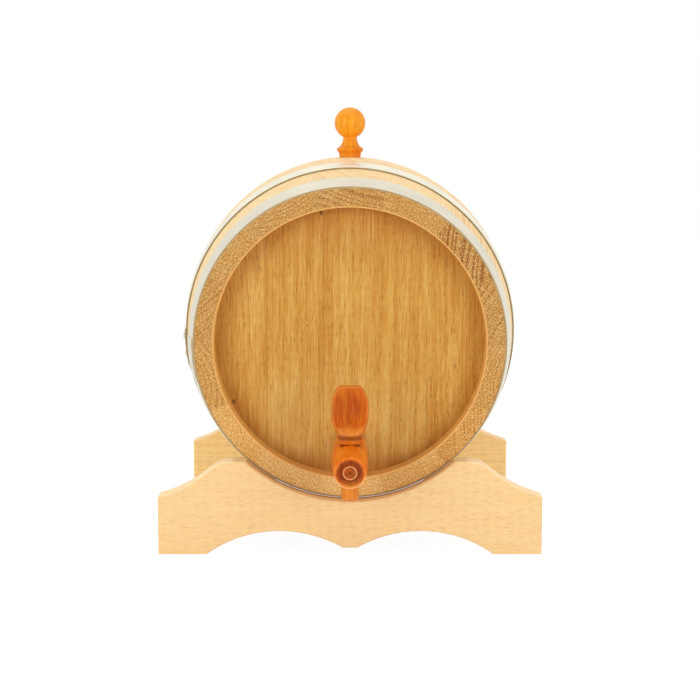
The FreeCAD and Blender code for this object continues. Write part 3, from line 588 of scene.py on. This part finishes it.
def oak_head_material(number, rear, settings):
    """European oak, planed and oiled: golden, with fine straight grain and short dark
    pores down the boards, and painted shade in the corner of the chime."""
    cut = HEAD_CUTS[number - 1]
    side = "rear" if rear else "front"
    material = new_material(f"european_oak_oiled_{side}_head_{number}")
    tree = material.node_tree
    place = place_in_mm(tree, back_to_front=rear)
    plank = Plank(number + (REAR_HEAD_SEED if rear else FRONT_HEAD_SEED), cut.pith, cut.spacing,
                  cut.tone, cut.tilt, knots=() if rear else cut.knots)
    wood = Timber(settings.head, settings.head_dark, settings.oiled_pore, settings.ray,
                  contrast=0.4, early_share=0.6, wander=3.5, pore_size=(5.5, 0.6),
                  pore_share=(0.35, 0.9), pore_strength=0.64, fibre=(11, 0.62, 0.15),
                  streak=(90, 4.5, 0.1), patch=(160, 20, 0.08), ray_size=(1.6, 0.7, 5.0),
                  ray_level=0.75, ray_strength=0.15, knot=settings.knot)
    look = timber(tree, place, "ZXY", wood, plank)
    parts = add(tree, "SeparateXYZ", place)
    radius = add(tree, LENGTH, add(tree, "CombineXYZ", parts.outputs["X"], parts.outputs["Z"]))
    # painted light and shade: the lower half of each board is lighter or darker than the rest
    low = add(tree, STEP, parts.outputs["Z"], *PAINTED_LOW_LIGHT_SPAN, 1.0, cut.painted_low_light)
    shade = steeped(tree, look.shade, low)
    # painted shade in the corner of the chime
    oiled = recoloured(tree, shade, settings.head, settings.oil)
    shade = add(tree, BLEND, painted_chime_shade(tree, parts, radius), shade, oiled)
    for joint in HEAD_JOINTS:
        here = add(tree, "Math COMPARE", parts.outputs["X"], joint, HEAD_JOINT_REACH)
        shade = add(tree, BLEND, add(tree, TIMES, here, 0.3), shade, add(tree, SCALED, shade, 0.5))
    bump = add(tree, "Bump", {"Strength": 0.6, "Distance": 0.12 * MM, "Height": look.height})
    finish_surface(tree, Base_Color=shade, Roughness=0.6, Normal=bump, Specular_IOR_Level=0.3)
    return material


# -------- fruitwood
# Painted shade in the key's creases: height, reach and share.
KEY_SHADED_SEAMS = (
    (-51.6, 1.4, 0.95),         # under the collar
    (-46.6, 2.2, 0.6),          # in the groove above it
)


def turned_fruitwood(name, order, plank, wood_colour, settings):
    """Pear wood, turned and oiled: fine even grain with soft darker streaks. The satin finish
    comes from finish_fruitwood, and only the tap's end grain, which soaks up the oil, is darkened,
    in tap_end_grain."""
    material = new_material(name)
    tree = material.node_tree
    wood = Timber(wood_colour, settings.streak, settings.streak, wood_colour, contrast=0.16,
                  early_share=0.8, wander=0.8, pore_size=(5.0, 0.7), pore_share=(0.2, 0.3),
                  pore_strength=0.3, fibre=(12, 0.9, 0.12), streak=(30, 2.6, 0.1),
                  patch=(40, 9, 0.05), ray_size=(1.5, 0.5, 3.0), ray_level=0.75,
                  ray_strength=0.1)
    place = place_in_mm(tree)
    return material, tree, place, timber(tree, place, order, wood, plank)


def finish_fruitwood(tree, shade, height):
    bump = add(tree, "Bump", {"Strength": 0.4, "Distance": 0.06 * MM, "Height": height})
    finish_surface(tree, Base_Color=shade, Roughness=0.36, Normal=bump, Specular_IOR_Level=0.14,
                   Coat_Weight=0.04, Coat_Roughness=0.2)


def tap_end_grain(tree, place, radius, level, shade, settings):
    """The tap's front end: dark end grain, painted shade in the hollow round the button, a painted
    highlight on the button's edge, the small mark of the lathe's centre and painted light on its
    lower part."""
    soaked = recoloured(tree, shade, settings.tap, settings.end_grain)
    ragged = mottled(tree, place, (1.2, 1.2, 1.2), detail=2.0)
    soaked = add(tree, SCALED, soaked, add(tree, STEP, ragged, *NOISE_SPAN, 0.78, 1.2))
    # painted shade in the hollow round the button
    corner = band(tree, radius, (BUTTON_RADIUS + 0.2, BUTTON_RADIUS + 0.9),
                  (BUTTON_RADIUS + 1.0, BUTTON_RADIUS + 3.0), 0.32)
    soaked = add(tree, BLEND, corner, soaked, settings.seam)
    # painted highlight on the button's edge
    ring = band(tree, radius, (BUTTON_RADIUS - 0.8, BUTTON_RADIUS - 0.25),
                (BUTTON_RADIUS, BUTTON_RADIUS + 0.3), 0.5)
    soaked = add(tree, BLEND, ring, soaked, settings.painted_edge_highlight)
    mark = add(tree, STEP, radius, 0.5, 1.1, 0.3, 0.0)
    soaked = add(tree, BLEND, mark, soaked, settings.seam)
    # painted light on the lower part of the end, outside the button
    foot = add(tree, TIMES, add(tree, STEP, level, -TAP_DROP - 3.0, -TAP_DROP - 8.0, 0.0, 0.4),
               add(tree, STEP, radius, BUTTON_RADIUS + 0.7, BUTTON_RADIUS + 2.2))
    return add(tree, BLEND, foot, soaked, settings.painted_pale_light)


def tap_material(settings):
    """The tap: its turned front end is dark, and the lower half of that end's rim has a painted
    highlight.
    """
    material, tree, place, look = turned_fruitwood(
        "pear_wood_turned_tap", "YXZ", Plank(71, (180, -60), 3.0), settings.tap, settings)
    centred = add(tree, "Mapping",
                  {"Vector": place, "Location": (0, 0, TAP_DROP), "Scale": (1, 0, 1)})
    radius = add(tree, LENGTH, centred)
    level = add(tree, "SeparateXYZ", place).outputs["Z"]
    front = add(tree, STEP, facing(tree, CASK_AXIS), 0.3, 0.6)
    under = add(tree, STEP, level, -TAP_DROP + 1.0, -TAP_DROP - 6.0)
    # painted highlight on the lower half of the end's rim
    rim = add(tree, TIMES, add(tree, TIMES, front, under),
              add(tree, STEP, radius, TAP_END_RADIUS - 0.2, TAP_END_RADIUS + 0.6, 0.0, 0.85))
    shade = add(tree, BLEND, rim, look.shade, settings.painted_edge_highlight)
    end = add(tree, TIMES, front,
              add(tree, STEP, radius, TAP_END_RADIUS - 0.9, TAP_END_RADIUS, 1.0, 0.0))
    soaked = tap_end_grain(tree, place, radius, level, look.shade, settings)
    finish_fruitwood(tree, add(tree, BLEND, end, shade, soaked), look.height)
    return material


def key_material(settings):
    """The key: its handle is darker in the middle of the cheeks, where it is held, with
    painted light on its sides, a painted highlight along its edges, and painted shade in its
    groove and under its collar."""
    material, tree, place, look = turned_fruitwood(
        "pear_wood_turned_key", "ZXY", Plank(72, (190, -KEY_LEAD), 2.6), settings.key, settings)
    square_on = facing(tree, CASK_AXIS)
    level = add(tree, "SeparateXYZ", place).outputs["Z"]

    # the worn place is a ragged oval on the cheeks, a little left of their middle
    here = add(tree, "Mapping",
               {"Vector": place, "Location": (0.15, 0, -HANDLE_MIDDLE / HANDLE_HALF),
                "Scale": (1 / HANDLE_SIDE, 0, 1 / HANDLE_HALF)})
    ragged = mottled(tree, place, (1.8, 1.8, 11.0), detail=2.0)
    held = add(tree, TIMES_PLUS, ragged, 0.8, add(tree, LENGTH, here))
    worn = add(tree, TIMES, add(tree, STEP, held, 0.8, 1.55, 0.85, 0.0),
               add(tree, STEP, square_on, 0.7, 0.95))
    shade = add(tree, BLEND, worn, look.shade,
                recoloured(tree, look.shade, settings.key, settings.worn))

    # painted light on the sides and a painted highlight along the edges
    shade = add(tree, BLEND, add(tree, STEP, square_on, 0.2, 0.6, 0.15, 0.0),
                shade, settings.painted_pale_light)
    shade = add(tree, BLEND, add(tree, TIMES, sharp_edges(tree, 0.9), 0.4),
                shade, settings.painted_edge_highlight)

    # painted shade under the collar and in the groove
    for seam, reach, share in KEY_SHADED_SEAMS:
        away = add(tree, "Math ABSOLUTE", add(tree, "Math SUBTRACT", level, seam))
        shade = add(tree, BLEND, add(tree, STEP, away, 0.3, reach, share, 0.0),
                    shade, settings.seam)

    # painted highlight on the swept foot of the cheeks and on the tip of the spout
    foot = HANDLE_MIDDLE - HANDLE_HALF
    swept = add(tree, TIMES, add(tree, STEP, level, foot + 5.0, foot, 0.0, 0.4),
                add(tree, STEP, level, foot - 2.0, foot - 0.5))
    shade = add(tree, BLEND, add(tree, TIMES, swept, square_on), shade, settings.painted_pale_light)
    tip = add(tree, STEP, level, -TAP_DROP - 8.0, -TAP_DROP - 11.0, 0.0, 0.36)
    finish_fruitwood(tree, add(tree, BLEND, tip, shade, settings.painted_pale_light), look.height)
    return material


def bung_material(settings):
    """The bung, turned from a lighter piece, with its grain up and down and darker
    below its waist."""
    material, tree, place, look = turned_fruitwood(
        "pear_wood_turned_bung", "ZXY", Plank(73, (170, CASK_LENGTH / 2), 3.4),
        settings.bung, settings)
    level = add(tree, "SeparateXYZ", place).outputs["Z"]
    foot = add(tree, STEP, level, BUNG_WAIST + 1.5, BUNG_WAIST - 1.5, 0.0, 0.5)
    darker = recoloured(tree, look.shade, settings.bung, settings.tap)
    finish_fruitwood(tree, add(tree, BLEND, foot, look.shade, darker), look.height)
    return material


# -------- beech
class BeechCut(NamedTuple):
    """How a piece of beech is made and sawn."""
    node: str
    made: str                   # how its surface was made, and what it is
    order: str                  # the axes, from the grain's on
    seed: int
    pith: tuple                 # along the second and third axes, in mm
    spacing: float              # of the rings, in mm


BEECH_CUTS = (
    BeechCut("stand_front_board", "sanded_front_board", "XYZ", 81, (-40, -160), 5.2),
    BeechCut("stand_rear_board", "sanded_rear_board", "XYZ", 82, (60, -150), 4.6),
    BeechCut("stand_left_rail", "sanded_left_rail", "YXZ", 83, (30, -60), 3.4),
    BeechCut("stand_right_rail", "sanded_right_rail", "YXZ", 84, (30, -60), 3.4),
    BeechCut("stand_dowels", "turned_stand_dowels", "YXZ", 85, (40, -20), 2.0),
    BeechCut("front_head_dowels", "turned_front_head_dowels", "XYZ", 86, (40, -20), 2.0),
    BeechCut("rear_head_dowels", "turned_rear_head_dowels", "XYZ", 87, (40, -20), 2.0),
)

AXES = {"X": (1, 0, 0), "Y": (0, 1, 0)}
CRADLE_SHADE_FROM = (-4.5, -1.0)      # Y behind which the cradle has painted shade under the cask


def beech_material(cut, wood_colour, settings):
    """Steamed beech, planed and sanded, unfinished: pale and even, with short brown ray
    flecks along the grain, which are drawn as pores."""
    material = new_material(f"beech_{cut.made}")
    tree = material.node_tree
    wood = Timber(wood_colour, settings.rings, settings.fleck, wood_colour, contrast=0.3,
                  early_share=0.7, wander=6.0, pore_size=(6.5, 0.5), pore_share=(0.75, 0.95),
                  pore_strength=0.46, fibre=(14, 0.9, 0.03), streak=(70, 7, 0.012),
                  patch=(90, 25, 0.012), ray_size=(3.0, 0.6, 2.0), ray_level=0.75,
                  ray_strength=0.1)
    look = timber(tree, floor_place_in_mm(tree), cut.order, wood,
                  Plank(cut.seed, cut.pith, cut.spacing))
    end = add(tree, STEP, facing(tree, AXES[cut.order[0]]), 0.8, 0.97)
    shade = add(tree, BLEND, end, look.shade,
                recoloured(tree, look.shade, wood_colour, settings.end_grain))

    # painted highlight: the rounded edges that face up are paler where the light from above
    # catches them, outside the cradle
    parts = add(tree, "SeparateXYZ", place_in_mm(tree))
    radius = add(tree, LENGTH, add(tree, "CombineXYZ", parts.outputs["X"], parts.outputs["Z"]))
    normal = add(tree, "TexCoord").outputs["Normal"]
    upward = add(tree, "SeparateXYZ", normal).outputs["Z"]
    rounded = add(tree, TIMES, add(tree, STEP, facing(tree, AXES["Y"]), 0.9, 0.98, 1.0, 0.0),
                  add(tree, STEP, upward, 0.1, 0.4))
    painted_top_highlight = add(tree, TIMES, rounded, add(tree, STEP, radius, SEAT_RADIUS, SEAT_RADIUS + 2.0))
    shade = add(tree, BLEND, painted_top_highlight, shade, recoloured(tree, shade, wood_colour, settings.painted_top_highlight))

    # painted shade: the cradle itself, which faces the cask's axis, is darker under the cask
    outward = add(tree, "CombineXYZ", {"X": parts.outputs["X"], "Z": parts.outputs["Z"]})
    towards = add(tree, DOT, normal, outward)
    cradle = add(tree, TIMES, add(tree, STEP, radius, SEAT_RADIUS, SEAT_RADIUS + 1.5, 1.0, 0.0),
                 add(tree, STEP, towards, -SEAT_RADIUS + 7.0, -SEAT_RADIUS + 20.0, 1.0, 0.0))
    # painted shade where the cask lies in the cradle
    rubbed = add(tree, TIMES, cradle, add(tree, STEP, parts.outputs["Y"], *CRADLE_SHADE_FROM))
    shade = add(tree, BLEND, rubbed, shade, recoloured(tree, shade, wood_colour, settings.cradle))
    bump = add(tree, "Bump", {"Strength": 0.4, "Distance": 0.05 * MM, "Height": look.height})
    finish_surface(tree, Base_Color=shade, Roughness=0.55, Normal=bump)
    return material


# -------- steel
def hoop_steel_material(name, steel, edge, settings):
    """Zinc-plated mild steel strip, cold rolled: bright and satin, with fine lines that
    run round the hoop, faint cloudy patches in the plating and dark sheared edges.

    Rolling lines are far finer than 0.5 mm, and are drawn that wide so that they show.
    """
    material = new_material(name)
    tree = material.node_tree
    place = place_in_mm(tree)
    parts = add(tree, "SeparateXYZ", place)
    bearing = add(tree, "Math ARCTAN2", parts.outputs["Z"], parts.outputs["X"])
    unrolled = add(tree, "CombineXYZ", add(tree, TIMES, bearing, HOOP_RADIUS), parts.outputs["Y"])
    lines = mottled(tree, unrolled, (80, 0.5, 1), detail=3.0, roughness=0.6)
    clouds = mottled(tree, place, (14, 14, 14), detail=2.0)
    brightness = add(tree, TIMES, add(tree, STEP, lines, *NOISE_SPAN, 0.93, 1.03),
                     add(tree, STEP, clouds, *NOISE_SPAN, 0.95, 1.02))
    sheared = add(tree, STEP, facing(tree, CASK_AXIS), 0.8, 0.95)
    shade = add(tree, BLEND, sheared, add(tree, SCALED, steel[:3], brightness), edge)
    roughness = add(tree, "MapRange", clouds, *NOISE_SPAN, settings.roughness - 0.06,
                    settings.roughness + 0.08)
    roughness = add(tree, TIMES_PLUS, sheared, 0.25, roughness)
    bump = add(tree, "Bump", {"Strength": 0.25, "Distance": 0.03 * MM, "Height": lines})
    finish_surface(tree, Base_Color=shade, Metallic=1.0, Roughness=roughness, Normal=bump)
    return material


# -------- operators
def dress(node, material):
    """Gives a carried-over piece its material."""
    piece = frame["nodes"][node]
    piece.data.materials.clear()
    piece.data.materials.append(material)


class CASK_OT_dress_staves(bpy.types.Operator):
    """Give every stave its own cut of oak"""
    bl_idname = "cask.dress_staves"
    bl_label = "Dress staves"

    def execute(self, context):
        settings = context.scene.cask_oak
        for number in range(1, STAVE_COUNT + 1):
            node = "bung_stave" if number == 1 else f"stave_{number:02d}"
            dress(node, oak_stave_material(number, settings))
        return {"FINISHED"}


class CASK_OT_dress_heads(bpy.types.Operator):
    """Give the boards of both heads their oak"""
    bl_idname = "cask.dress_heads"
    bl_label = "Dress heads"

    def execute(self, context):
        settings = context.scene.cask_oak
        for number in range(1, len(HEAD_CUTS) + 1):
            dress(f"front_head_board_{number}", oak_head_material(number, False, settings))
            dress(f"rear_head_board_{number}", oak_head_material(number, True, settings))
        return {"FINISHED"}


class CASK_OT_dress_hoops(bpy.types.Operator):
    """Give the hoops and their rivets their steel"""
    bl_idname = "cask.dress_hoops"
    bl_label = "Dress hoops"

    def execute(self, context):
        settings = context.scene.cask_hoops
        chime = hoop_steel_material("zinc_plated_steel_chime_hoops", settings.chime_steel,
                                    settings.chime_edge, settings)
        quarter = hoop_steel_material("zinc_plated_steel_quarter_hoops", settings.quarter_steel,
                                      settings.quarter_edge, settings)
        for end in ("front", "rear"):
            dress(f"{end}_chime_hoop", chime)
            dress(f"{end}_quarter_hoop", quarter)
        dress("hoop_rivets", chime)
        return {"FINISHED"}


class CASK_OT_dress_fittings(bpy.types.Operator):
    """Give the tap, its key and the bung their turned fruitwood"""
    bl_idname = "cask.dress_fittings"
    bl_label = "Dress tap, key and bung"

    def execute(self, context):
        settings = context.scene.cask_fruitwood
        dress("tap_body", tap_material(settings))
        dress("tap_key", key_material(settings))
        dress("bung", bung_material(settings))
        return {"FINISHED"}


class CASK_OT_dress_stand(bpy.types.Operator):
    """Give the stand and all dowels their beech"""
    bl_idname = "cask.dress_stand"
    bl_label = "Dress stand and dowels"

    def execute(self, context):
        settings = context.scene.cask_beech
        for cut in BEECH_CUTS:
            # painted light: the rear board gets the lighter copy of the beech
            wood_colour = settings.rear if cut.node == "stand_rear_board" else settings.front
            dress(cut.node, beech_material(cut, wood_colour, settings))
        return {"FINISHED"}


# -------- stage
LAMP_TARGET = (0, 0, 0.13)      # m, about the middle of the object
LAMPS = (
    # name, place and side in m, and the setting with its power
    ("overhead_softbox", (-0.1, -0.3, 1.3), 1.2, "key_power"),
    ("left_softbox", (-1.0, -1.3, 0.4), 0.8, "fill_power"),
    ("right_softbox", (1.0, -1.3, 0.4), 0.8, "fill_power"),
)
FLOOR_REACH = 6.0               # m, to each side
WHITE_SHARE = 0.85              # how much of the floor is plain white to the eye
WHITE_STRENGTH = 1.1            # of that white, so that only the shadow falls below it
SENSOR_WIDTH = 36.0             # mm


def softbox(scene, name, place, side, power):
    """A square lamp that faces the object."""
    lamp = bpy.data.lights.new(name, "AREA")
    lamp.shape = "RECTANGLE"
    lamp.size = side
    lamp.size_y = side
    lamp.energy = power
    thing = bpy.data.objects.new(name, lamp)
    thing.location = place
    towards = Vector(LAMP_TARGET) - thing.location
    thing.rotation_euler = towards.to_track_quat("-Z", "Y").to_euler()
    scene.collection.objects.link(thing)


def seen_directly(tree):
    """1 for what the camera sees, also in metal or through glass, and 0 for all other light."""
    rays = add(tree, "LightPath").outputs
    seen = add(tree, LARGER, rays["Is Camera Ray"], rays["Is Transmission Ray"])
    return add(tree, LARGER, seen, rays["Is Glossy Ray"])


class CASK_OT_build_stage(bpy.types.Operator):
    """Set the pale floor, the white surround, the lamps and the camera"""
    bl_idname = "cask.build_stage"
    bl_label = "Build stage"

    def execute(self, context):
        scene = context.scene
        settings = scene.cask_stage
        self.build_floor(scene, settings)
        self.build_surround(scene, settings)
        for name, place, side, power in LAMPS:
            softbox(scene, name, place, side, getattr(settings, power))
        self.set_camera(scene, settings)
        scene.view_settings.view_transform = "Standard"
        return {"FINISHED"}

    def build_floor(self, scene, settings):
        mesh = bpy.data.meshes.new("floor")
        reach = FLOOR_REACH
        mesh.from_pydata(
            [(-reach, -reach, 0), (reach, -reach, 0), (reach, reach, 0), (-reach, reach, 0)],
            [], [(0, 1, 2, 3)])
        floor = bpy.data.objects.new("floor", mesh)
        scene.collection.objects.link(floor)
        material = new_material("white_paper_sweep")
        tree = material.node_tree
        share = add(tree, TIMES, seen_directly(tree), WHITE_SHARE)
        paper = add(tree, "BsdfDiffuse", {"Color": settings.floor})
        white = add(tree, "Emission", {"Strength": WHITE_STRENGTH})
        add(tree, "OutputMaterial", {"Surface": add(tree, "MixShader", share, paper, white)})
        mesh.materials.append(material)

    def build_surround(self, scene, settings):
        """Walls that are white behind the cask and dim on the camera's side, so that the
        oiled wood keeps its colour; seen directly, they are plain white."""
        world = bpy.data.worlds.new("white_surround")
        scene.world = world
        world.use_nodes = True
        tree = world.node_tree
        tree.nodes.clear()
        sight = add(tree, "SeparateXYZ", add(tree, "TexCoord").outputs["Generated"]).outputs["Y"]
        walls = add(tree, STEP, sight, -0.6, 0.2, settings.camera_side, settings.surround)
        strength = add(tree, LARGER, walls, seen_directly(tree))
        light = add(tree, "Background", {"Color": (1, 1, 1, 1), "Strength": strength})
        add(tree, "OutputWorld", {"Surface": light})

    def set_camera(self, scene, settings):
        data = bpy.data.cameras.new("view")
        data.sensor_width = SENSOR_WIDTH
        data.lens = settings.focal_length
        data.clip_start = 0.02
        camera = bpy.data.objects.new("view", data)
        camera.location = (0, CASK_FRONT.y - settings.camera_distance, settings.camera_height)
        camera.rotation_euler = (math.pi / 2 - settings.camera_pitch, 0, 0)
        scene.collection.objects.link(camera)
        scene.camera = camera


class CASK_PT_dispenser(bpy.types.Panel):
    """The steps that dress the cask, with the settings they read"""
    bl_idname = "CASK_PT_dispenser"
    bl_label = "Oak cask dispenser"
    bl_space_type = "VIEW_3D"
    bl_region_type = "UI"
    bl_category = "Cask"

    def draw(self, context):
        for name, _, operators in STEPS:
            box = self.layout.box()
            settings = getattr(context.scene, name)
            for setting in settings.__annotations__:
                box.prop(settings, setting)
            for operator in operators:
                box.operator(operator.bl_idname)


# The steps in order: the settings' name and class, and the operators that read them.
STEPS = (
    ("cask_oak", CaskOakSettings, (CASK_OT_dress_staves, CASK_OT_dress_heads)),
    ("cask_hoops", CaskHoopSettings, (CASK_OT_dress_hoops,)),
    ("cask_fruitwood", CaskFruitwoodSettings, (CASK_OT_dress_fittings,)),
    ("cask_beech", CaskBeechSettings, (CASK_OT_dress_stand,)),
    ("cask_stage", CaskStageSettings, (CASK_OT_build_stage,)),
)
OPERATORS = [operator for _, _, operators in STEPS for operator in operators]
CLASSES = [settings for _, settings, _ in STEPS] + OPERATORS + [CASK_PT_dispenser]


def register():
    for cls in CLASSES:
        bpy.utils.register_class(cls)
    for name, settings, _ in STEPS:
        setattr(bpy.types.Scene, name, PointerProperty(type=settings))


def unregister():
    for name, _, _ in STEPS:
        delattr(bpy.types.Scene, name)
    for cls in reversed(CLASSES):
        bpy.utils.unregister_class(cls)


def main():
    register()
    for operator in OPERATORS:
        getattr(bpy.ops.cask, operator.bl_idname.split(".")[1])()


if __name__ == "__main__":
    main()
